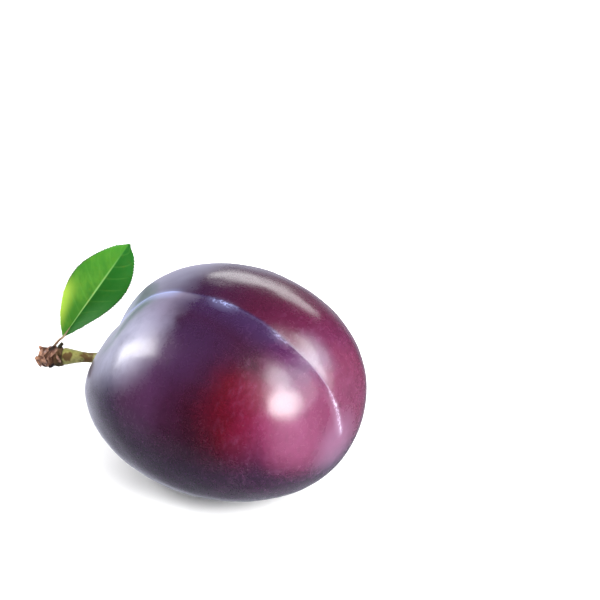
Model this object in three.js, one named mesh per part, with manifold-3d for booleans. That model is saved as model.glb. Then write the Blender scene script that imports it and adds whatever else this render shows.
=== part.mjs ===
// A plum picked with its stalk, a knob of the fruiting spur and one young leaf.
// Millimetres. The fruit lies on its belly: +X runs from the stem end to the blossom end, +Z is up,
// and the origin is the middle of the small flat spot that the fruit rests on.
import * as THREE from "three";
import { mergeVertices } from "three/addons/utils/BufferGeometryUtils.js";
import Module from "manifold-3d";

const wasm = await Module();
wasm.setup();

// Driving dimensions of the fruit, from its middle
const halfLength = 29.2;
const halfWidth = 24.5;
const halfHeight = 21.7;
const shoulderFullness = 0.055; // how much fuller the ends are than an ellipsoid's
const backArch = 2.8; // lifts the middle of the back and flattens the belly
const suturedSideRoll = THREE.MathUtils.degToRad(8.8); // turns the suture toward -Y

// The suture: a shallow valley with a fine crease in it, deeper near the stalk
const valleyDepth = 1.5;
const valleySpread = 0.5;
const creaseDepth = 0.5;
const creaseSpread = 0.08;
const notchDepth = 3.0;
const notchSpread = 0.3;
const notchPlace = 0.55;
const notchLength = 0.4;

// The hollow that the stalk grows from, and the small point at the blossom end
const hollowDepth = 3.2;
const hollowSpread = 0.3;
const pointHeight = 0.3;
const pointSpread = 0.25;

// Where one side is fuller or leaner than the other: angle from the blossom end, angle round from
// the suture, spread of the swelling, and its height
const swellings = [
  { along: 2.5, round: -0.6, spread: 0.36, height: -2.85 },
  { along: 2.53, round: -0.95, spread: 0.38, height: 0.97 },
  { along: 2.25, round: 0.75, spread: 0.5, height: 0.5 },
  { along: 0.0, round: 0.0, spread: 0.5, height: -3.1 },
  { along: 0.75, round: -2.4, spread: 0.5, height: -1.2 },
];

// The spot that the fruit rests on
const restingDepth = 0.4;
const restingX = -0.57;
const restingY = -1.16;

// The stalk, the spur and the leaf, placed from the middle of the fruit
const gap = 0.3; // left between pieces that touch
const stalkRoute = [
  [-26.85, 0, 0],
  [-29.4, -0.3, -1.4],
  [-32.9, -1.0, -2.7],
  [-35.7, -1.8, -3.0],
  [-38.6, -2.75, -3.3],
];
const stalkRadius = 1.02;
const stalkFlare = 0.55; // added where it meets the fruit
const stalkFlareLength = 0.1; // as a share of the stalk, as is the collar's
const stalkCollar = 0.7; // added where it meets the spur
const stalkCollarLength = 0.18;
const spurRoute = [
  [-38.95, -2.95, -3.35],
  [-40.4, -3.8, -3.5],
  [-41.9, -4.65, -3.65],
  [-43.3, -5.4, -3.75],
];
const spurRadius = 2.1;
const spurNeck = 0.9;
const spurShoulder = 0.35; // the share of the spur over which it swells from its neck
const spurTaper = 0.5; // taken off the radius at the torn end
const spurTaperLength = 0.2;
const spurRings = 4;
const spurRingHeight = 0.16;
const stubRoute = [
  [-39.7, -3.2, -1.1],
  [-39.35, -3.2, -0.6],
  [-39.0, -3.1, -0.15],
];
const stubRadius = 0.42;
const stubTaper = 0.17; // how much thinner its tip is than its foot
// Each bud scale: its place along the spur, the angles round it, from the top, that it spans, and
// how far along the spur it slants between them
const budScales = [
  { at: 0.36, from: -1.25, to: -0.35, slant: -2.3 },
  { at: 0.76, from: -1.95, to: -0.45, slant: 1.5 },
  { at: 0.93, from: -2.0, to: -0.9, slant: 0.8 },
  { at: 0.45, from: 0.7, to: 2.1, slant: 0.9 },
];
const scaleThickness = 0.28;
const scaleWidth = 0.9;
const scaleTip = 0.25; // its width at its tips, as a share of that at its middle
const petioleRoute = [
  [-40.45, -3.75, -0.4],
  [-39.95, -2.8, 0.2],
  [-39.6, -1.8, 0.7],
  [-38.9, 0.2, 2.7],
];
const petioleRadius = 0.3;
const leafBase = new THREE.Vector3(-39.6, -1.8, 0.7);
const leafTip = new THREE.Vector3(-34.1, 14.0, 16.6);
const leafFace = new THREE.Vector3(0.474, -0.725, 0.5); // the way that the upper side looks
const leafHalfWidth = 6.4;
const leafThickness = 0.4;
const leafFold = THREE.MathUtils.degToRad(30); // each half rises by this from the midrib
const leafTwist = THREE.MathUtils.degToRad(30); // the blade's turn at its base
const leafUntwist = THREE.MathUtils.degToRad(50); // how far it turns back by its tip
const leafArch = 0.6;
const leafWidestShift = 1.1; // over 1 moves the widest place toward the tip
const leafBluntness = 0.65; // under 1 makes both ends blunter than an arc
const leafPoint = 0.5; // how much narrower the last of the blade is, drawn out to a small point
const leafPointLength = 0.04;
const leafTeeth = 30;
const toothDepth = 0.28;
const toothReach = 8; // the higher, the closer to the edge the teeth stay
const narrowestHalf = 0.3;

// Moves every vertex of a geometry by a function, and welds the seams.
function reshape(geometry, place) {
  geometry.deleteAttribute("normal");
  geometry.deleteAttribute("uv");
  const positions = geometry.getAttribute("position");
  const vertex = new THREE.Vector3();
  for (let i = 0; i < positions.count; i += 1) {
    vertex.fromBufferAttribute(positions, i);
    place(vertex);
    positions.setXYZ(i, vertex.x, vertex.y, vertex.z);
  }
  return mergeVertices(geometry, 1e-4);
}

function toSolid(geometry) {
  return new wasm.Manifold(
    new wasm.Mesh({
      numProp: 3,
      vertProperties: geometry.getAttribute("position").array,
      triVerts: new Uint32Array(geometry.getIndex().array),
    }),
  );
}

function toGeometry(solid) {
  const { vertProperties, triVerts } = solid.getMesh();
  return new THREE.BufferGeometry()
    .setAttribute("position", new THREE.BufferAttribute(vertProperties, 3))
    .setIndex(new THREE.BufferAttribute(triVerts, 1));
}

// A round bar along a smooth curve, whose radius changes from its start, 0, to its end, 1.
function taperedBar(route, radiusAt, sides, steps) {
  const curve = new THREE.CatmullRomCurve3(route.map((point) => new THREE.Vector3(...point)));
  const frames = curve.computeFrenetFrames(steps);
  return reshape(new THREE.CylinderGeometry(1, 1, 1, sides, steps), (vertex) => {
    const along = vertex.y + 0.5;
    const ring = Math.round(along * steps);
    const radius = radiusAt(along);
    const across = vertex.x * radius;
    const over = -vertex.z * radius;
    vertex
      .copy(curve.getPointAt(along))
      .addScaledVector(frames.normals[ring], across)
      .addScaledVector(frames.binormals[ring], over);
  });
}

const bell = (distance, spread) => Math.exp(-((distance / spread) ** 2));

// The skin of the fruit at an angle from the blossom end and an angle round from the suture.
function skinPoint(along, round, target) {
  const fromStem = Math.PI - along;
  const girth = Math.sin(along);
  const full = girth * (1 + shoulderFullness * Math.cos(along) ** 2);
  const valley = valleyDepth * bell(round, valleySpread) + creaseDepth * bell(round, creaseSpread);
  const notch = notchDepth * bell(round, notchSpread) * bell(fromStem - notchPlace, notchLength);
  const groove = (valley + notch) * girth;
  const axial =
    halfLength * Math.cos(along) +
    hollowDepth * bell(fromStem, hollowSpread) +
    pointHeight * bell(along, pointSpread);
  const sutural = (halfHeight * full - groove) * Math.cos(round) + backArch * girth ** 2;
  const lateral = (halfWidth * full - groove) * Math.sin(round);
  const outward = new THREE.Vector3().setFromSpherical(new THREE.Spherical(1, along, round));
  let swell = 0;
  for (const { along: at, round: turn, spread, height } of swellings) {
    const middle = new THREE.Vector3().setFromSpherical(new THREE.Spherical(1, at, turn));
    swell += height * Math.exp((-2 * (1 - outward.dot(middle))) / spread ** 2);
  }
  return target.set(
    axial + swell * outward.y,
    lateral + swell * outward.x,
    sutural + swell * outward.z,
  );
}

// The fruit: a welded sphere whose points are set on the skin, closer together near the suture.
function fruitGeometry() {
  const crowding = 0.6;
  const roll = new THREE.Matrix4().makeRotationX(suturedSideRoll);
  const skin = reshape(new THREE.SphereGeometry(1, 64, 40), (vertex) => {
    const along = Math.acos(THREE.MathUtils.clamp(vertex.y, -1, 1));
    const turn = Math.atan2(vertex.z, vertex.x);
    skinPoint(along, turn - crowding * Math.sin(turn), vertex);
    vertex.applyMatrix4(roll);
  });
  skin.computeBoundingBox();
  const floor = skin.boundingBox.min.z + restingDepth;
  const reach = 4 * halfLength;
  const below = new THREE.BoxGeometry(reach, reach, reach);
  below.translate(0, 0, floor - reach / 2);
  const cutter = reshape(below, () => {});
  const geometry = toGeometry(toSolid(skin).subtract(toSolid(cutter)));
  return { geometry, floor };
}

function stalkGeometry() {
  const radiusAt = (along) =>
    stalkRadius +
    stalkFlare * bell(along, stalkFlareLength) +
    stalkCollar * bell(1 - along, stalkCollarLength);
  return taperedBar(stalkRoute, radiusAt, 16, 28);
}

// The spur: a stub of wood with swollen rings, rounded at the stalk and torn off square behind.
function spurGeometry() {
  const radiusAt = (along) => {
    const rounded = Math.sqrt(1 - (1 - Math.min(1, along / spurShoulder)) ** 2);
    const ring = spurRingHeight * Math.cos(2 * Math.PI * spurRings * along);
    const taper = spurTaper * bell(1 - along, spurTaperLength);
    return spurNeck + (spurRadius - spurNeck) * rounded - taper + ring;
  };
  return taperedBar(spurRoute, radiusAt, 24, 32);
}

function stubGeometry() {
  return taperedBar(stubRoute, (along) => stubRadius + stubTaper * (0.5 - along), 10, 8);
}

// A bud scale: a thin curved strip laid round the spur.
function scaleGeometry({ at, from, to, slant }) {
  const middle = new THREE.CatmullRomCurve3(spurRoute.map((point) => new THREE.Vector3(...point)));
  const centre = middle.getPointAt(at);
  const axis = middle.getTangentAt(at);
  const up = new THREE.Vector3(0, 0, 1).projectOnPlane(axis).normalize();
  const side = new THREE.Vector3().crossVectors(axis, up);
  const clear = spurRadius + spurRingHeight + gap;
  return reshape(new THREE.BoxGeometry(1, 1, 1, 2, 12, 1), (vertex) => {
    const along = vertex.y + 0.5;
    const width = scaleWidth * (scaleTip + (1 - scaleTip) * Math.sin(Math.PI * along));
    const angle = from + (to - from) * along;
    const radius = clear + scaleThickness * (vertex.z + 0.5);
    const onward = slant * (along - 0.5) - vertex.x * width;
    vertex
      .copy(centre)
      .addScaledVector(axis, onward)
      .addScaledVector(up, radius * Math.cos(angle))
      .addScaledVector(side, radius * Math.sin(angle));
  });
}

// The leaf: a folded blade with a toothed edge, joined to its own stalk.
function leafGeometry() {
  const length = leafBase.distanceTo(leafTip);
  const axis = new THREE.Vector3().subVectors(leafTip, leafBase).normalize();
  const side = new THREE.Vector3().crossVectors(leafFace, axis).normalize();
  const face = new THREE.Vector3().crossVectors(axis, side);
  const rows = 2 * leafTeeth;
  const blade = reshape(new THREE.BoxGeometry(1, 1, 1, rows, 8, 1), (vertex) => {
    const along = vertex.x + 0.5;
    const across = 2 * vertex.y;
    const tooth = toothDepth * (Math.round(along * rows) % 2) * Math.abs(across) ** toothReach;
    const point = 1 - leafPoint * bell(1 - along, leafPointLength);
    const profile = point * Math.sin(Math.PI * along ** leafWidestShift) ** leafBluntness;
    const half = narrowestHalf + (leafHalfWidth - narrowestHalf) * profile - tooth * profile;
    const away = across * half;
    const rise = leafFold - Math.sign(across) * (leafTwist - leafUntwist * along);
    const arch = leafArch * Math.sin(Math.PI * along);
    const lift = Math.abs(away) * Math.sin(rise) + arch + vertex.z * leafThickness;
    vertex
      .copy(leafBase)
      .addScaledVector(axis, along * length)
      .addScaledVector(side, away * Math.cos(rise))
      .addScaledVector(face, lift);
  });
  const petiole = taperedBar(petioleRoute, () => petioleRadius, 10, 14);
  return toGeometry(toSolid(blade).add(toSolid(petiole)));
}

const finishes = {
  skin: { color: 0x44203f, roughness: 0.35, metalness: 0 },
  stalk: { color: 0x8f8a45, roughness: 0.6, metalness: 0 },
  wood: { color: 0x5a3a2c, roughness: 0.85, metalness: 0 },
  scale: { color: 0xa87464, roughness: 0.7, metalness: 0 },
  leaf: { color: 0x3f7d35, roughness: 0.5, metalness: 0 },
};

function piece(name, geometry, finish) {
  const mesh = new THREE.Mesh(geometry, new THREE.MeshStandardMaterial(finishes[finish]));
  mesh.name = name;
  mesh.geometry.computeVertexNormals();
  return mesh;
}

const { geometry: fruitBody, floor } = fruitGeometry();
const plum = new THREE.Group();
plum.add(piece("fruit", fruitBody, "skin"));
plum.add(piece("fruit_stalk", stalkGeometry(), "stalk"));
plum.add(piece("spur", spurGeometry(), "wood"));
plum.add(piece("dry_stub", stubGeometry(), "wood"));
budScales.forEach((place, index) => {
  plum.add(piece("bud_scale_" + (index + 1), scaleGeometry(place), "scale"));
});
plum.add(piece("leaf", leafGeometry(), "leaf"));
plum.position.set(-restingX, -restingY, -floor);

const root = new THREE.Group();
root.add(plum);
export default root;
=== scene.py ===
import math

import bmesh
import bpy
from mathutils import Matrix, Quaternion, Vector, noise


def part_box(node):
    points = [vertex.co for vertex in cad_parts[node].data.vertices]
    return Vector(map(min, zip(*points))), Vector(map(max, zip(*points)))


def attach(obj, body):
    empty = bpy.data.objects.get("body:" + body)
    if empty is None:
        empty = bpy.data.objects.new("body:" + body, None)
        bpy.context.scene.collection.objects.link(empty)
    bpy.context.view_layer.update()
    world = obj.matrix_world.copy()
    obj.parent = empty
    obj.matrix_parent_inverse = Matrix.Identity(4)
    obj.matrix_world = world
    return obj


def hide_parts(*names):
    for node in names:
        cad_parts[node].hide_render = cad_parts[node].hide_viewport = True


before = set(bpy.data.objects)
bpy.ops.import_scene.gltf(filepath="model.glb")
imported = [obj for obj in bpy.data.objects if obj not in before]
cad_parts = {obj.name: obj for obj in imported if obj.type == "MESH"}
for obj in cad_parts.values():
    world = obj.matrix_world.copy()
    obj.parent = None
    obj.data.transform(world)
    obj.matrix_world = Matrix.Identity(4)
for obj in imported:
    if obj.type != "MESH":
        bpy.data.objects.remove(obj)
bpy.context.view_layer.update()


# ---- The fruit ------------------------------------------------------------------------------
# A ripe purple plum lying on its belly: skin and flesh grown as one body, with a suture along
# the back, a hollow at the stem end and a dimple at the blossom end. The skin is smooth and
# waxy, violet to crimson, under a powdery bloom, thickest at the stem end and in the suture.
MM = 0.001
fruit_low, fruit_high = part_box("fruit")
fruit_size = fruit_high - fruit_low
axis_shares = Vector((0.5048, 0.5088, 0.4427))  # where the fruit's axis has its middle, in its box
fruit_middle = fruit_low + axis_shares * fruit_size
suture_roll = math.radians(8.8)
fruit_to_row = Matrix.Translation(fruit_middle) @ Matrix.Rotation(suture_roll, 4, "X") @ Matrix.Scale(MM, 4)

# Millimetres, from the middle of the fruit
half_length = 29.2
half_width = 24.5
half_height = 21.7
shoulder_fullness = 0.055  # a share of the girth, which keeps the ends blunt
back_arch = 2.8
stem_hollow = 3.2
tip_hollow = 0.3
suture_valley = 1.25
stem_notch = 3.0
shallow_crease = 0.40  # the sharp fold in the suture, at the stem end
blossom_crease = 0.60  # how much deeper it is at the blossom end
blossom_cleft = 0.95  # and how much its steep inner flank adds there
near_reach = 0.42  # radians from the suture, on the seen side
cleft_reach = 0.10
far_reach = 0.13
coarse_ripple = 0.16
fine_ripple = 0.035
swellings = [  # angle from the blossom end, angle round from the suture, spread, height
    (2.50, -0.60, 0.36, -2.85),
    (2.53, -0.95, 0.38, 0.97),
    (2.25, 0.75, 0.50, 0.5),
    (0.00, 0.00, 0.50, -3.1),
    (0.75, -2.40, 0.50, -1.2),
]


def bell(distance, spread):
    return math.exp(-((distance / spread) ** 2))


def direction(along, turn):
    return Vector((math.cos(along), math.sin(along) * math.sin(turn), math.sin(along) * math.cos(turn)))


swelling_ways = [(direction(along, turn), spread, height) for along, turn, spread, height in swellings]


def skin_point(along, turn):
    """A point of the skin, in millimetres on the fruit's own axes: X to its tip, Z to the suture."""
    from_stem = math.pi - along
    girth = math.sin(along)
    full = girth * (1 + shoulder_fullness * math.cos(along) ** 2)
    beyond = turn > 0
    toward_blossom = 0.5 + 0.5 * math.tanh((math.cos(along) - 0.45) * 6)
    cleft = blossom_cleft * toward_blossom
    crease_depth = shallow_crease + blossom_crease * toward_blossom
    if beyond:
        flank = turn / (far_reach + 0.045 * toward_blossom)
        crease = (crease_depth + cleft) * math.exp(-(flank ** (1 + 0.5 * toward_blossom)))
    else:
        crease = crease_depth * math.exp(turn / near_reach) + cleft * math.exp(turn / cleft_reach)
    valley = suture_valley * bell(turn, 0.5) + crease
    notch = stem_notch * bell(turn, 0.30) * bell(from_stem - 0.55, 0.4)
    groove = (valley + notch) * girth
    hollow = stem_hollow * bell(from_stem, 0.30) + tip_hollow * bell(along, 0.25)
    way = direction(along, turn)
    swell = 0.0
    for middle, spread, height in swelling_ways:
        swell += height * math.exp(-2 * (1 - way.dot(middle)) / spread**2)
    point = Vector((
        half_length * math.cos(along) + hollow,
        (half_width * full - groove) * math.sin(turn),
        (half_height * full - groove) * math.cos(turn) + back_arch * girth**2,
    ))
    ripple = noise.noise(way * 4.0) * coarse_ripple + noise.noise(way * 9.0) * fine_ripple
    return point + way * (swell + ripple * girth)


def grown(around, rings, place):
    """A closed bmesh: a sphere whose points are set by place(share along it, angle round it)."""
    bm = bmesh.new()
    bmesh.ops.create_uvsphere(bm, u_segments=around, v_segments=rings, radius=1.0)
    for vert in bm.verts:
        share = math.acos(max(-1.0, min(1.0, vert.co.z))) / math.pi
        vert.co = place(share, math.atan2(vert.co.y, vert.co.x))
    bm.normal_update()
    bmesh.ops.recalc_face_normals(bm, faces=bm.faces)
    return bm


def piece(bm, name):
    mesh = bpy.data.meshes.new(name)
    bm.to_mesh(mesh)
    bm.free()
    mesh.shade_smooth()
    made = bpy.data.objects.new(name, mesh)
    bpy.context.scene.collection.objects.link(made)
    return made


class Flow:
    """One output of a shader node. Arithmetic on it adds Math nodes."""

    def __init__(self, tree, socket=None):
        self.tree = tree
        self.socket = socket

    def node(self, kind, settings=None, inputs=None, output=0):
        made = self.tree.nodes.new(kind)
        for name, value in (settings or {}).items():
            if name == "stops":
                ramp = made.color_ramp.elements
                while len(ramp) < len(value):
                    ramp.new(0.5)
                for stop, (position, color) in zip(ramp, value):
                    stop.position = position
                    stop.color = color
            else:
                setattr(made, name, value)
        for name, value in (inputs or {}).items():
            if isinstance(value, Flow):
                self.tree.links.new(value.socket, made.inputs[name])
            else:
                made.inputs[name].default_value = value
        return Flow(self.tree, made.outputs[output])

    def math(self, operation, *values):
        return self.node("ShaderNodeMath", {"operation": operation}, dict(enumerate((self, *values))))

    def __add__(self, other):
        return self.math("ADD", other)

    def __sub__(self, other):
        return self.math("SUBTRACT", other)

    def __rsub__(self, other):
        return self.node("ShaderNodeMath", {"operation": "SUBTRACT"}, {0: other, 1: self})

    def __mul__(self, other):
        return self.math("MULTIPLY", other)

    def __pow__(self, other):
        return self.math("POWER", other)

    def __abs__(self):
        return self.math("ABSOLUTE")

    __radd__ = __add__
    __rmul__ = __mul__

    def rise(self, low, high):
        """0 below low and 1 above high, smooth between; falls instead where low is the larger."""
        limits = {"Value": self, "From Min": low, "From Max": high}
        return self.node("ShaderNodeMapRange", {"interpolation_type": "SMOOTHSTEP"}, limits)

    def near(self, middle, reach):
        """1 at the middle and 0 beyond its reach."""
        return abs(self - middle).rise(reach, 0)

    def blend(self, first, second):
        """The colour that goes from first to second as this value goes from 0 to 1."""
        settings = {"data_type": "RGBA", "blend_type": "MIX"}
        return self.node("ShaderNodeMix", settings, {0: self, 6: first, 7: second}, 2)

    def noise(self, scale, detail=2.0, roughness=0.5, distortion=0.0):
        inputs = {"Vector": self, "Scale": scale, "Detail": detail, "Roughness": roughness}
        inputs["Distortion"] = distortion
        return self.node("ShaderNodeTexNoise", {}, inputs)

    def axis(self, number):
        return self.node("ShaderNodeSeparateXYZ", {}, {0: self}, number)

    def distance(self, point):
        return self.node("ShaderNodeVectorMath", {"operation": "DISTANCE"}, {0: self, 1: point}, "Value")


def new_material(name):
    """A material, the start of its flow, and its Principled shader."""
    made = bpy.data.materials.new(name)
    made.use_nodes = True
    made.node_tree.nodes.clear()
    output = made.node_tree.nodes.new("ShaderNodeOutputMaterial")
    shader = made.node_tree.nodes.new("ShaderNodeBsdfPrincipled")
    made.node_tree.links.new(shader.outputs[0], output.inputs["Surface"])
    return made, Flow(made.node_tree), shader


def feed(flow, shader, sockets):
    for name, value in sockets.items():
        if isinstance(value, Flow):
            flow.tree.links.new(value.socket, shader.inputs[name])
        else:
            shader.inputs[name].default_value = value


def rgb(red, green, blue):
    return (red, green, blue, 1.0)


spot_rounding = 0.1 * MM  # at the rim of the flat spot that the fruit rests on


def fruit_vertex(share, angle):
    turn = angle - 0.6 * math.sin(angle)  # crowds the columns towards the suture
    point = fruit_to_row @ skin_point(share * math.pi, turn)
    point.z = 0.5 * (point.z + math.sqrt(point.z**2 + spot_rounding**2))
    return point


fruit = piece(grown(320, 220, fruit_vertex), "plum_fruit")
to_fruit_axes = fruit_to_row.inverted()
from_suture = fruit.data.attributes.new("from_suture", "FLOAT", "POINT")
for vert in fruit.data.vertices:
    local = to_fruit_axes @ vert.co
    girth = math.hypot(local.y, local.z)
    from_suture.data[vert.index].value = math.atan2(local.y, local.z) * girth

skin, flow, shader = new_material("plum_skin")
place = flow.node("ShaderNodeTexCoord", {}, {}, "Object")
place = flow.node("ShaderNodeMapping", {"vector_type": "TEXTURE"}, {
    "Vector": place,
    "Location": fruit_middle,
    "Rotation": (suture_roll, 0, 0),
    "Scale": (MM, MM, MM),
})
suture_away = flow.node("ShaderNodeAttribute", {"attribute_name": "from_suture"}, {}, "Fac")
mottle = place.noise(0.13, 3.0, 0.55, 0.4)
fleck = place.noise(0.9, 4.0, 0.65, 0.6)
wobble = (mottle - 0.5) * 6.0 + (fleck - 0.5) * 3.0
along_fruit = place.axis(0) + wobble
height_up = place.axis(2) + wobble * 0.7

# From the stem end to the blossom end: first on the near side of the suture, then beyond it.
along_share = (along_fruit + 29.0) * (1 / 56)
near_side = flow.node("ShaderNodeValToRGB", {"stops": [
    (0.10, rgb(0.012, 0.008, 0.035)),
    (0.27, rgb(0.014, 0.004, 0.026)),
    (0.37, rgb(0.044, 0.014, 0.042)),
    (0.47, rgb(0.042, 0.012, 0.040)),
    (0.56, rgb(0.026, 0.0045, 0.019)),
    (0.65, rgb(0.020, 0.0018, 0.008)),
    (0.75, rgb(0.046, 0.0006, 0.005)),
    (0.81, rgb(0.068, 0.0016, 0.013)),
    (0.88, rgb(0.095, 0.010, 0.038)),
    (0.96, rgb(0.088, 0.018, 0.045)),
]}, {"Fac": along_share})
far_side = flow.node("ShaderNodeValToRGB", {"stops": [
    (0.20, rgb(0.022, 0.011, 0.036)),
    (0.45, rgb(0.020, 0.005, 0.020)),
    (0.66, rgb(0.030, 0.0030, 0.013)),
    (0.80, rgb(0.045, 0.0035, 0.018)),
    (0.88, rgb(0.062, 0.0100, 0.032)),
    (0.93, rgb(0.080, 0.0150, 0.037)),
    (0.99, rgb(0.085, 0.0200, 0.045)),
]}, {"Fac": along_share})
color = suture_away.rise(-0.6, 0.6).blend(near_side, far_side)
blush = (place.distance((24, -11, 6)) + wobble * 0.4).rise(8.0, 2.0)
color = (blush * 0.8).blend(color, rgb(0.122, 0.030, 0.068))
# Painted shade: the skin is painted near black towards its underside, reaching higher towards the stem end
# and less high towards the blossom end.
blossom_lift = (place.axis(0) + wobble * 0.25 - 19.5).math("MAXIMUM", 0.0) * 1.7
stem_drop = (2.0 - along_fruit).math("MAXIMUM", 0.0) * 0.25
painted_underside_shade = (place.axis(2) + wobble * 0.25 + blossom_lift - stem_drop).rise(11.0, 0.0)
color = (painted_underside_shade * 0.93).blend(color, rgb(0.009, 0.0012, 0.013))
near_suture = suture_away.rise(0.8, 0.0) * along_fruit.rise(-9.0, -3.0)
dusk = suture_away.rise(-16.0, -8.0) * near_suture * along_fruit.rise(19.0, 12.0)
color = (dusk * 0.9).blend(color, rgb(0.017, 0.0028, 0.012))
dusk_blue = suture_away.rise(-9.0, -1.0) * near_suture * along_fruit.rise(22.0, 14.0)
shoulder_blue = (place.distance((1, -12, 21)) + wobble * 0.5).rise(13.0, 2.0) * 0.6
dusk_blue = dusk_blue.math("MAXIMUM", shoulder_blue)
color = (dusk_blue * 0.85).blend(color, rgb(0.020, 0.008, 0.034))
dusk_violet = suture_away.rise(-13.0, -7.0) * near_suture * along_fruit.near(19.0, 6.0)
color = (dusk_violet * 0.75).blend(color, rgb(0.033, 0.005, 0.036))
# Partly bloom and partly a painted highlight: a pale lilac patch beside the suture towards the blossom end,
# where a crescent of light lies by the crease.
bloom_and_painted_highlight = suture_away.near(0.5, 7.0) * along_fruit.near(20.5, 4.5)
color = (bloom_and_painted_highlight * 0.8).blend(color, rgb(0.098, 0.066, 0.104))
stretched = flow.node("ShaderNodeMapping", {}, {"Vector": place, "Scale": (1.5, 0.5, 0.5)})
streaks = stretched.noise(1.0, 3.0, 0.6)
pale_streaks = streaks.rise(0.50, 0.72) * 0.12 * along_fruit.rise(6.0, 18.0)
dark_streaks = streaks.rise(0.50, 0.30) * 0.18
color = pale_streaks.blend(color, rgb(0.16, 0.055, 0.13))
color = dark_streaks.blend(color, rgb(0.012, 0.001, 0.006))

# The bloom: a pale powder, thick at the stem end and thin elsewhere.
bloom_blue = rgb(0.40, 0.41, 0.55)
bloom_lilac = rgb(0.36, 0.27, 0.42)
patchy = 0.75 + 0.5 * fleck
beyond_suture = suture_away.rise(-0.5, 0.5)
stem_end = (along_fruit + beyond_suture * 2.5).rise(-2.0, -10.0)
stem_shoulder = (height_up - along_fruit * 0.45).rise(14.5, 23.0)
suture_gap = suture_away.near(-3.0, 9.0) * along_fruit.rise(-21.0, -14.0)
stem_bloom = stem_end * stem_shoulder * (0.20 + mottle * 0.5) * (1.0 - 0.45 * beyond_suture)
stem_bloom = stem_bloom * (1.0 - 0.5 * suture_gap)
notch_bloom = (place.distance((-24.5, 2.5, 11.0)) + wobble * 0.3).rise(8.0, 2.0) * 0.6
stem_bloom = stem_bloom.math("MAXIMUM", notch_bloom) * patchy
tip_bloom = (place.distance((26.5, -1.5, -1.5)) + wobble * 0.4).rise(9.0, 2.0) * 0.14 * patchy
color = stem_bloom.blend(color, bloom_blue)
color = tip_bloom.blend(color, bloom_lilac)

# The lenticels: fine pale dots, plainest towards the blossom end.
cells = flow.node("ShaderNodeTexVoronoi", {}, {"Vector": place, "Scale": 0.55}, "Distance")
lenticels = cells.rise(0.085, 0.035) * along_fruit.rise(10.0, 26.0)
color = (lenticels * 0.20).blend(color, rgb(0.45, 0.33, 0.36))

# The bloom that stays in the suture, in a broken line of crumbs.
crumbs = place.noise(1.9, 3.0, 0.75).rise(0.46, 0.60)
lengthwise = place.axis(0)
whole = lengthwise.rise(-7.0, -11.0)
broken = lengthwise.near(2.0, 4.5) + lengthwise.near(14.5, 3.0) * 0.5
broken = broken + lengthwise.near(26.0, 2.5) * 0.8 + 0.03
tip_line = lengthwise.rise(20.0, 23.0) * 0.12
crease_core = suture_away.near(0.0, 0.30) * (whole * 0.65 + tip_line + 0.03)
crease_crumbs = suture_away.near(-0.15, 0.85) * crumbs * broken.math("MINIMUM", 1.0) * 0.8
crease_haze = suture_away.near(-0.6, 2.2) * (whole * 0.35 + broken * 0.10)
crease = (crease_core + crease_crumbs + crease_haze).math("MINIMUM", 0.85)
crease_color = lengthwise.rise(8.0, 20.0).blend(rgb(0.27, 0.31, 0.55), rgb(0.42, 0.36, 0.48))
color = crease.blend(color, crease_color)
bloom = stem_bloom + tip_bloom
rough = 0.27 + 0.2 * bloom + 0.3 * crease + 0.06 * (fleck - 0.5)
bump = flow.node("ShaderNodeBump", {}, {
    "Strength": 0.12, "Distance": 0.00005, "Height": place.noise(1.2, 3.0, 0.6),
})
feed(flow, shader, {
    "Base Color": color, "Roughness": rough, "Normal": bump, "IOR": 1.4,
    "Coat Weight": 0.3, "Coat Roughness": 0.17, "Coat IOR": 1.4,
})
fruit.data.materials.append(skin)
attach(fruit, "root")
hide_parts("fruit")


# ---- The stalk ------------------------------------------------------------------------------
# The green stalk that carried the fruit, a little woody, with brown corky patches. It flares
# where it is set in the hollow and swells into the spur at its other end.
def smooth_route(points, share):
    """The place on a smooth curve through the points, and the ways along it, across it and over it."""
    spans = len(points) - 1
    span = min(int(share * spans), spans - 1)
    t = share * spans - span
    before, start, end, after = (Vector(points[max(0, min(spans, span + k))]) for k in (-1, 0, 1, 2))
    ahead = (end - before) / 2
    beyond = (after - start) / 2
    lead = start - end
    point = start + t * ahead - t**2 * (3 * lead + 2 * ahead + beyond) + t**3 * (2 * lead + ahead + beyond)
    way = ahead - 2 * t * (3 * lead + 2 * ahead + beyond) + 3 * t**2 * (2 * lead + ahead + beyond)
    way.normalize()
    across = way.cross(Vector((0, 0, 1))).normalized()
    return point, way, across, across.cross(way)


def rod_vertex(route, radius_at, cap):
    """For grown(): a round rod along a route in millimetres, with rounded ends."""
    def vertex(share, angle):
        point, way, across, over = smooth_route(route, share)
        ends = min(1.0, share / cap, (1 - share) / cap)
        radius = radius_at(share, angle, point) * math.sin(ends * math.pi / 2)
        around = across * math.cos(angle) + over * math.sin(angle)
        return fruit_middle + (point + around * radius) * MM
    return vertex


stalk_route = [  # millimetres from the middle of the fruit
    (-26.0, 0, 0),
    (-29.4, -0.3, -1.4),
    (-32.9, -1.0, -2.7),
    (-35.7, -1.8, -3.0),
    (-39.0, -2.95, -3.35),
]
stalk_thickness = 1.02
stalk_flare = 0.55  # at the fruit
stalk_collar = 0.80  # at the spur


def stalk_radius(share, angle, point):
    outward = Vector((math.cos(angle), math.sin(angle), 0))
    rough = 0.05 * noise.noise(Vector(point) * 0.9 + outward * 1.2)
    ribs = 0.02 * math.cos(7 * angle)
    ends = stalk_flare * bell(share, 0.09) + stalk_collar * bell(1 - share, 0.2)
    return stalk_thickness + ends + rough + ribs


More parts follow.
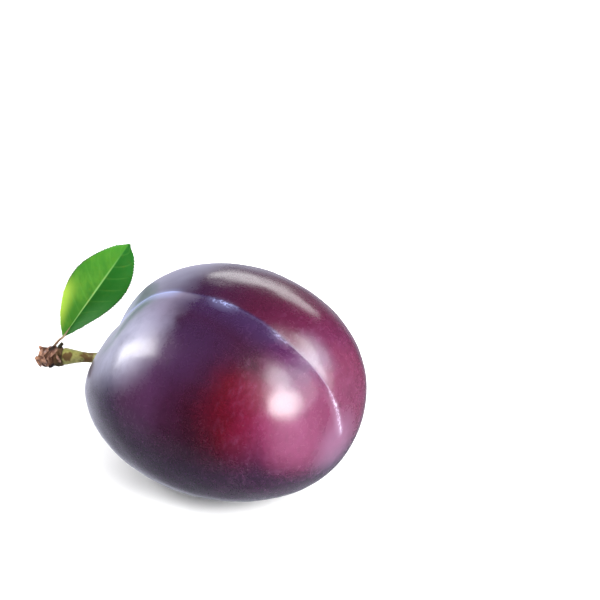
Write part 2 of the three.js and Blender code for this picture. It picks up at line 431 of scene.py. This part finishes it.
stalk = piece(grown(48, 140, rod_vertex(stalk_route, stalk_radius, 0.03)), "fruit_stalk")
green, flow, shader = new_material("stalk_green")
place = flow.node("ShaderNodeTexCoord", {}, {}, "Object")
grain = place.noise(900, 4.0, 0.6)
ragged = (grain - 0.5) * 0.0016
corky_spot = (place.distance(fruit_middle + Vector((-37.4, -3.6, -2.6)) * MM) + ragged).rise(0.0012, 0.0008)
corky_band = (place.axis(0) + ragged).near(fruit_middle.x - 33.7 * MM, 0.0026).rise(0.2, 0.6)
streaks = flow.node("ShaderNodeMapping", {}, {"Vector": place, "Scale": (0.3, 1, 1)}).noise(1500, 3.0, 0.6)
cork = corky_spot.math("MAXIMUM", corky_band * streaks.rise(0.62, 0.50))
color = grain.rise(0.3, 0.7).blend(rgb(0.12, 0.12, 0.018), rgb(0.27, 0.26, 0.07))
color = (cork * 0.9).blend(color, rgb(0.075, 0.030, 0.005))
bump = flow.node("ShaderNodeBump", {}, {"Strength": 0.5, "Distance": 0.0001, "Height": grain})
feed(flow, shader, {"Base Color": color, "Roughness": 0.45 + 0.3 * cork, "Normal": bump})
stalk.data.materials.append(green)
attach(stalk, "root")
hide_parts("fruit_stalk")


# ---- The spur -------------------------------------------------------------------------------
# A knob of the fruiting twig that came away with the stalk: brown bark in swollen rings, a
# round scar on its side, and a rusty torn end of bare wood.
spur_route = [(-38.7, -2.8, -3.3), (-40.4, -3.8, -3.5), (-41.9, -4.65, -3.65), (-43.5, -5.5, -3.75)]
spur_thickness = 2.0
scar_share = 0.48  # along the spur
scar_angle = 2.97  # round it
torn_share = 0.14  # how much of its length the torn end takes up
splinter_length = 1.3


def spur_radius(share, angle, point):
    rings = 0.14 * math.cos(8 * math.pi * share + 1.5 * math.cos(angle))
    around = Vector((math.cos(angle), math.sin(angle), share * 3))
    knobs = 0.38 * noise.noise(around * 1.3) + 0.2 * noise.noise(around * 4.0)
    knobs += 0.1 * noise.noise(around * 9.0)
    away = math.hypot((share - scar_share) * 5.5, math.remainder(angle - scar_angle, math.tau) * 2)
    scar = 0.16 * bell(away - 0.75, 0.22) - 0.35 * bell(away, 0.5)
    return spur_thickness + rings + knobs + scar - 0.5 * bell(1 - share, 0.2)


def spur_vertex(share, angle):
    point = rod_vertex(spur_route, spur_radius, 0.14)(share, angle)
    splinter = noise.noise(Vector((math.cos(angle), math.sin(angle), 0)) * 4.0) + 0.3 * math.sin(angle)
    torn = max(0.0, share - (1 - torn_share)) / torn_share
    return point + Vector((0.87, 0.49, 0)) * splinter * torn * splinter_length * MM


spur = piece(grown(128, 110, spur_vertex), "spur")
bark, flow, shader = new_material("spur_bark")
place = flow.node("ShaderNodeTexCoord", {}, {}, "Object")
grain = place.noise(1100, 5.0, 0.7)
blotch = place.noise(420, 3.0, 0.6, 0.5)
color = blotch.rise(0.38, 0.62).blend(rgb(0.010, 0.004, 0.002), rgb(0.090, 0.032, 0.014))
color = (grain.rise(0.50, 0.72) * 0.5).blend(color, rgb(0.22, 0.13, 0.085))
torn_place = Vector(spur_route[-1]) * MM + fruit_middle
torn = (place.distance(torn_place) + (blotch - 0.5) * 0.002).rise(0.0022, 0.0012)
bare_wood = grain.rise(0.40, 0.62).blend(rgb(0.14, 0.045, 0.012), rgb(0.42, 0.20, 0.075))
color = torn.blend(color, bare_wood)
scar_middle = fruit_middle + Vector((-41.3, -6.0, -4.0)) * MM
scar = place.distance(scar_middle).rise(0.0009, 0.0004)
color = (scar * 0.85).blend(color, rgb(0.010, 0.004, 0.003))
to_stalk = place.axis(0) + (blotch - 0.5) * 0.002
olive = to_stalk.rise(fruit_middle.x - 40.2 * MM, fruit_middle.x - 38.9 * MM)
color = (olive * 0.4).blend(color, rgb(0.060, 0.050, 0.008))
bump = flow.node("ShaderNodeBump", {}, {"Strength": 0.9, "Distance": 0.0002, "Height": grain + blotch})
feed(flow, shader, {"Base Color": color, "Roughness": 0.8, "Normal": bump})
spur.data.materials.append(bark)
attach(spur, "root")
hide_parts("spur")


# ---- The dry stub ---------------------------------------------------------------------------
# The short dark peg on top of the spur, where an old flower stalk dried and broke off.
stub_route = [(-39.95, -3.35, -1.7), (-39.5, -3.25, -0.9), (-39.0, -3.1, -0.15)]


def stub_radius(share, angle, point):
    around = Vector((math.cos(angle), math.sin(angle), share * 4))
    return 0.46 - 0.1 * share + 0.08 * noise.noise(around * 1.5)


stub = piece(grown(28, 28, rod_vertex(stub_route, stub_radius, 0.12)), "dry_stub")
dark, flow, shader = new_material("dry_stub_wood")
place = flow.node("ShaderNodeTexCoord", {}, {}, "Object")
grain = place.noise(1800, 4.0, 0.7)
color = grain.rise(0.35, 0.7).blend(rgb(0.008, 0.005, 0.003), rgb(0.045, 0.032, 0.014))
bump = flow.node("ShaderNodeBump", {}, {"Strength": 0.8, "Distance": 0.0001, "Height": grain})
feed(flow, shader, {"Base Color": color, "Roughness": 0.8, "Normal": bump})
stub.data.materials.append(dark)
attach(stub, "root")
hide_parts("dry_stub")


# ---- The bud scales -------------------------------------------------------------------------
# Dry papery scales of last year's buds, each a thin pointed strip wrapped round the spur.
bud_scales = [  # share along the spur, first and last angle from its top, slant along it, half width, lift
    (0.38, -1.25, -0.35, -2.3, 0.42, 2.48),
    (0.74, -1.95, -0.45, 1.5, 0.45, 2.45),
    (0.90, -2.00, -0.90, 0.8, 0.40, 2.35),
    (0.46, 0.70, 2.10, 0.9, 0.50, 2.42),
]
loose_flakes = [  # smaller scraps of the same paper, close to the bark
    (0.60, -0.85, 0.25, -1.3, 0.40, 2.20),
    (0.86, -0.60, 0.50, 0.9, 0.35, 2.15),
    (0.62, -1.95, -1.30, -0.9, 0.28, 2.15),
    (0.20, -1.60, -0.90, 0.5, 0.25, 2.20),
    (0.80, 0.60, 1.90, -0.8, 0.40, 2.15),
]
papery, flow, shader = new_material("bud_scale_paper")
place = flow.node("ShaderNodeTexCoord", {}, {}, "Object")
grain = place.noise(1500, 3.0, 0.6)
blotch = place.noise(500, 2.0, 0.5)
color = grain.rise(0.35, 0.65).blend(rgb(0.060, 0.018, 0.009), rgb(0.30, 0.155, 0.10))
color = (blotch.rise(0.52, 0.68) * 0.8).blend(color, rgb(0.38, 0.29, 0.29))
torn = place.distance(torn_place).rise(0.0030, 0.0016)
rusty = grain.rise(0.40, 0.62).blend(rgb(0.14, 0.040, 0.008), rgb(0.44, 0.20, 0.065))
color = (torn * 0.7).blend(color, rusty)
bump = flow.node("ShaderNodeBump", {}, {"Strength": 0.6, "Distance": 0.0001, "Height": grain})
feed(flow, shader, {"Base Color": color, "Roughness": 0.55, "Normal": bump})
paper_thickness = 0.12 * MM
for number, strip in enumerate(bud_scales + loose_flakes, 1):
    share_along, first, last, slant, half_strip, lift = strip
    bm = bmesh.new()
    bmesh.ops.create_grid(bm, x_segments=12, y_segments=40, size=0.5)
    for vert in bm.verts:
        across_share, round_share = vert.co.x * 2, vert.co.y + 0.5
        centre, way, across, over = smooth_route(spur_route, share_along)
        angle = first + (last - first) * round_share
        half = half_strip * math.sin(math.pi * round_share) ** 0.6 + 0.03
        curl = 0.3 * noise.noise(Vector((round_share * 3, across_share, number)))
        wave = 0.12 * noise.noise(Vector((round_share * 5, 0, number)))
        height = lift + curl * abs(across_share) ** 3 + wave
        onward = slant * (round_share - 0.5) + across_share * half
        around = over * math.cos(angle) + across * math.sin(angle)
        vert.co = fruit_middle + (centre + way * onward + around * height) * MM
    bm.normal_update()
    bmesh.ops.recalc_face_normals(bm, faces=bm.faces)
    scale = piece(bm, f"bud_scale_{number}" if number <= len(bud_scales) else f"loose_flake_{number}")
    paper = scale.modifiers.new("paper", "SOLIDIFY")
    paper.thickness = paper_thickness
    scale.data.materials.append(papery)
    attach(scale, "root")
    if number <= len(bud_scales):
        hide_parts(f"bud_scale_{number}")


# ---- The leaf stalk -------------------------------------------------------------------------
# The thin pinkish stalk of the leaf. It grows from the spur and runs on as the leaf's midrib.
petiole_route = [(-40.6, -3.85, -0.9), (-40.0, -2.9, 0.15), (-39.6, -1.8, 0.7), (-38.9, 0.2, 2.7)]
petiole_vertex = rod_vertex(petiole_route, lambda share, angle, point: 0.30 - 0.1 * share, 0.05)
petiole = piece(grown(20, 50, petiole_vertex), "leaf_stalk")
pink, flow, shader = new_material("leaf_stalk_pink")
place = flow.node("ShaderNodeTexCoord", {}, {}, "Object")
color = place.noise(700, 2.0).rise(0.35, 0.65).blend(rgb(0.17, 0.10, 0.06), rgb(0.24, 0.18, 0.10))
feed(flow, shader, {"Base Color": color, "Roughness": 0.5})
petiole.data.materials.append(pink)
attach(petiole, "root")


# ---- The leaf -------------------------------------------------------------------------------
# A young leaf, folded a little along its midrib, with a finely toothed edge and veins that run
# forward to it. Satin green above, with painted light: the half that faces the light is painted
# lighter, brightest near its edge where the light comes through.
leaf_base = Vector((-39.6, -1.8, 0.7))
leaf_tip = Vector((-34.1, 14.0, 16.6))
leaf_face = Vector((0.474, -0.725, 0.5))
leaf_half_width = 6.4
leaf_neck = 0.15  # half the width that is left where the blade runs out
leaf_teeth = 44
tooth_depth = 0.42
vein_pairs = 8
midrib_rounding = 0.25
leaf_arch = 0.6
base_fold = math.radians(30)
leaf_length = (leaf_tip - leaf_base).length
leaf_way = (leaf_tip - leaf_base).normalized()
leaf_side = leaf_face.cross(leaf_way).normalized()
leaf_up = leaf_way.cross(leaf_side)


def leaf_point(share, across):
    """A point of the upper side. share runs from base to tip, and across from -1 to 1."""
    profile = math.sin(math.pi * max(share, 0.0) ** 1.1) ** 0.65 if 0 < share < 1 else 0.0
    profile *= 1 - 0.5 * bell(1 - share, 0.04)
    tooth = (share * leaf_teeth) % 1.0
    half = leaf_neck + (leaf_half_width - leaf_neck) * profile
    half += tooth_depth * (tooth - 0.6) * abs(across) ** 12 * min(1.0, profile * 2)
    away = across * half
    fold = base_fold - math.copysign(1, across) * math.radians(30 - 50 * share)
    crease = math.sqrt(away**2 + midrib_rounding**2) - midrib_rounding
    arch = leaf_arch * math.sin(math.pi * share)
    vein = math.cos(2 * math.pi * (vein_pairs * (share - 0.16 * abs(across) ** 1.2)))
    quilt = 0.05 * (1 - max(0.0, vein) ** 4) * min(1.0, abs(away)) * (1 - abs(across) ** 4)
    wave = 0.25 * math.sin(9 * share + 2 * across) * abs(across) ** 2
    lift = crease * math.sin(fold) + arch + quilt + wave
    outward = leaf_side * away * math.cos(fold)
    return leaf_base + leaf_way * share * leaf_length + outward + leaf_up * lift


bm = bmesh.new()
bmesh.ops.create_grid(bm, x_segments=leaf_teeth * 6, y_segments=56, size=0.5)
spread = bm.loops.layers.uv.new("leaf_spread")
for face in bm.faces:
    for loop in face.loops:
        loop[spread].uv = (loop.vert.co.x + 0.5, loop.vert.co.y + 0.5)
for vert in bm.verts:
    vert.co = fruit_middle + leaf_point(vert.co.x + 0.5, vert.co.y * 2) * MM
leaf = piece(bm, "leaf")
leaf_thickness = 0.22 * MM
body = leaf.modifiers.new("thickness", "SOLIDIFY")
body.thickness = leaf_thickness

blade, flow, shader = new_material("leaf_green")
spread_uv = flow.node("ShaderNodeUVMap", {"uv_map": "leaf_spread"})
place = flow.node("ShaderNodeTexCoord", {}, {}, "Object")
share = spread_uv.axis(0)
across = (spread_uv.axis(1) - 0.5) * 2.0
edge = abs(across)
vein_phase = (share - 0.16 * edge ** 1.2) * vein_pairs
vein = abs((vein_phase + 0.5).math("FRACT") - 0.5)
side_vein = vein.rise(0.10, 0.02) * edge.rise(0.98, 0.5)
midrib = edge.rise(0.045, 0.012)
tissue = place.noise(700, 4.0, 0.65)
soft = flow.node("ShaderNodeMapping", {}, {"Vector": place, "Scale": (3, 3, 1)}).noise(160, 3.0, 0.6)
# Painted light and shade: the half of the blade that faces the light is painted a lighter green than the
# half in shade, with lighter patches towards its base.
painted_lit_half = across.rise(-0.05, 0.05)
color = painted_lit_half.blend(rgb(0.009, 0.080, 0.008), rgb(0.027, 0.128, 0.010))
color = (tissue.rise(0.35, 0.7) * 0.3).blend(color, rgb(0.020, 0.095, 0.012))
lit = painted_lit_half * share.rise(1.0, 0.6) * 0.6
color = (soft.rise(0.42, 0.65) * lit).blend(color, rgb(0.055, 0.180, 0.015))
# Painted light: a bright yellow-green spot near the lit edge, a quarter of the way up the blade, where the
# light comes through.
painted_light_spot = across.rise(0.3, 1.0) * abs(share - 0.25).rise(0.28, 0.05)
color = (painted_light_spot * 0.9).blend(color, rgb(0.25, 0.39, 0.040))
color = (side_vein * 0.10).blend(color, rgb(0.10, 0.25, 0.04))
color = (midrib * share.rise(1.0, 0.45) * 0.8).blend(color, rgb(0.16, 0.33, 0.09))
margin = edge.rise(0.93, 1.0) * share.rise(0.30, 0.45)
color = (margin * 0.75).blend(color, rgb(0.012, 0.040, 0.010))
bump = flow.node("ShaderNodeBump", {}, {"Strength": 0.5, "Distance": 0.0001, "Height": tissue})
feed(flow, shader, {
    "Base Color": color, "Roughness": 0.55, "Normal": bump, "Specular IOR Level": 0.1,
    "Subsurface Weight": 0.08, "Subsurface Scale": 0.001,
})
leaf.data.materials.append(blade)
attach(leaf, "root")
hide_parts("leaf")


# ---- The studio -----------------------------------------------------------------------------
# A plain pale table, soft lights round the fruit, and a camera that looks down on its side.
floor_size = 6.0
bm = bmesh.new()
bmesh.ops.create_grid(bm, x_segments=1, y_segments=1, size=floor_size / 2)
floor = piece(bm, "floor")
pale, flow, shader = new_material("table_white")
place = flow.node("ShaderNodeTexCoord", {}, {}, "Object")
tone = place.noise(3.0, 2.0).blend(rgb(0.90, 0.90, 0.91), rgb(0.92, 0.92, 0.93))
feed(flow, shader, {"Base Color": tone, "Roughness": 0.6, "Specular IOR Level": 0.2})
floor.data.materials.append(pale)
floor.visible_glossy = False
floor.visible_shadow = False

world = bpy.data.worlds.new("studio")
world.use_nodes = True
flow = Flow(world.node_tree)
background = world.node_tree.nodes["Background"]
way = flow.node("ShaderNodeTexCoord", {}, {}, "Generated")
height = way.axis(2)
behind = (way.axis(1) * 0.5 - way.axis(0) * 0.87).rise(0.45, 0.95)
low = (height + way.axis(0) * 0.3).rise(-0.4, -0.7)
glow = low * 0.4 + behind * height.rise(0.35, -0.1) * 0.9 + 0.05
feed(flow, background, {"Color": rgb(0.90, 0.91, 1.08), "Strength": glow})
bpy.context.scene.world = world
bpy.context.scene.view_settings.view_transform = "Standard"


def softbox(
    name, azimuth, elevation, distance, width, height, radiance,
    shape="RECTANGLE", roll=0, mirrored=True,
):
    """An area light aimed at the fruit. Azimuth is from +X towards +Y; radiance is its brightness."""
    data = bpy.data.lights.new(name, "AREA")
    data.shape = shape
    data.size = width
    data.size_y = height
    share = math.pi / 4 if shape == "ELLIPSE" else 1.0
    data.energy = radiance * math.pi * width * height * share
    flat = math.cos(math.radians(elevation))
    way = Vector((
        flat * math.cos(math.radians(azimuth)),
        flat * math.sin(math.radians(azimuth)),
        math.sin(math.radians(elevation)),
    ))
    light = bpy.data.objects.new(name, data)
    light.location = fruit_middle + way * distance
    light.rotation_mode = "QUATERNION"
    light.rotation_quaternion = way.to_track_quat("Z", "Y") @ Quaternion((0, 0, 1), math.radians(roll))
    light.visible_glossy = mirrored
    bpy.context.scene.collection.objects.link(light)


softbox("key_softbox", -8, 27, 0.7, 0.34, 0.34, 15.5, "ELLIPSE")
softbox("key_skirt", -5, 26, 0.71, 0.50, 0.50, 8.5, "ELLIPSE")
softbox("key_window", 9, 51, 0.7, 0.30, 0.30, 10, "ELLIPSE")
softbox("key_halo", 10, 33, 0.72, 0.84, 0.84, 3.6, "ELLIPSE")
softbox("side_strip", 191.3, 25.8, 0.7, 0.22, 0.46, 15.5, roll=-20)
softbox("back_panel", 110, 24.5, 0.8, 0.62, 0.13, 6.6, roll=-7)
softbox("overhead_fill", -60, 80, 1.2, 2.2, 2.2, 2.2, mirrored=False)

camera_azimuth = math.radians(33.2)
camera_elevation = math.radians(30)
camera_distance = 400 * MM
view_width = 117.647 * MM  # how much the camera takes in, at the fruit's middle
frame_shift_right = 14.12 * MM  # how far right of the fruit's middle the camera aims
frame_shift_up = 18.04 * MM
camera_right = Vector((math.cos(camera_azimuth), math.sin(camera_azimuth), 0))
camera_back = Vector((
    math.sin(camera_azimuth) * math.cos(camera_elevation),
    -math.cos(camera_azimuth) * math.cos(camera_elevation),
    math.sin(camera_elevation),
))
camera_up = camera_back.cross(camera_right)
camera_data = bpy.data.cameras.new("camera")
camera_data.sensor_width = 36
camera_data.lens = camera_data.sensor_width * camera_distance / view_width
camera_data.clip_start = 0.01
camera = bpy.data.objects.new("camera", camera_data)
aim = fruit_middle + camera_right * frame_shift_right + camera_up * frame_shift_up
camera.location = aim + camera_back * camera_distance
camera.rotation_mode = "QUATERNION"
camera.rotation_quaternion = camera_back.to_track_quat("Z", "Y")
bpy.context.scene.collection.objects.link(camera)
bpy.context.scene.camera = camera
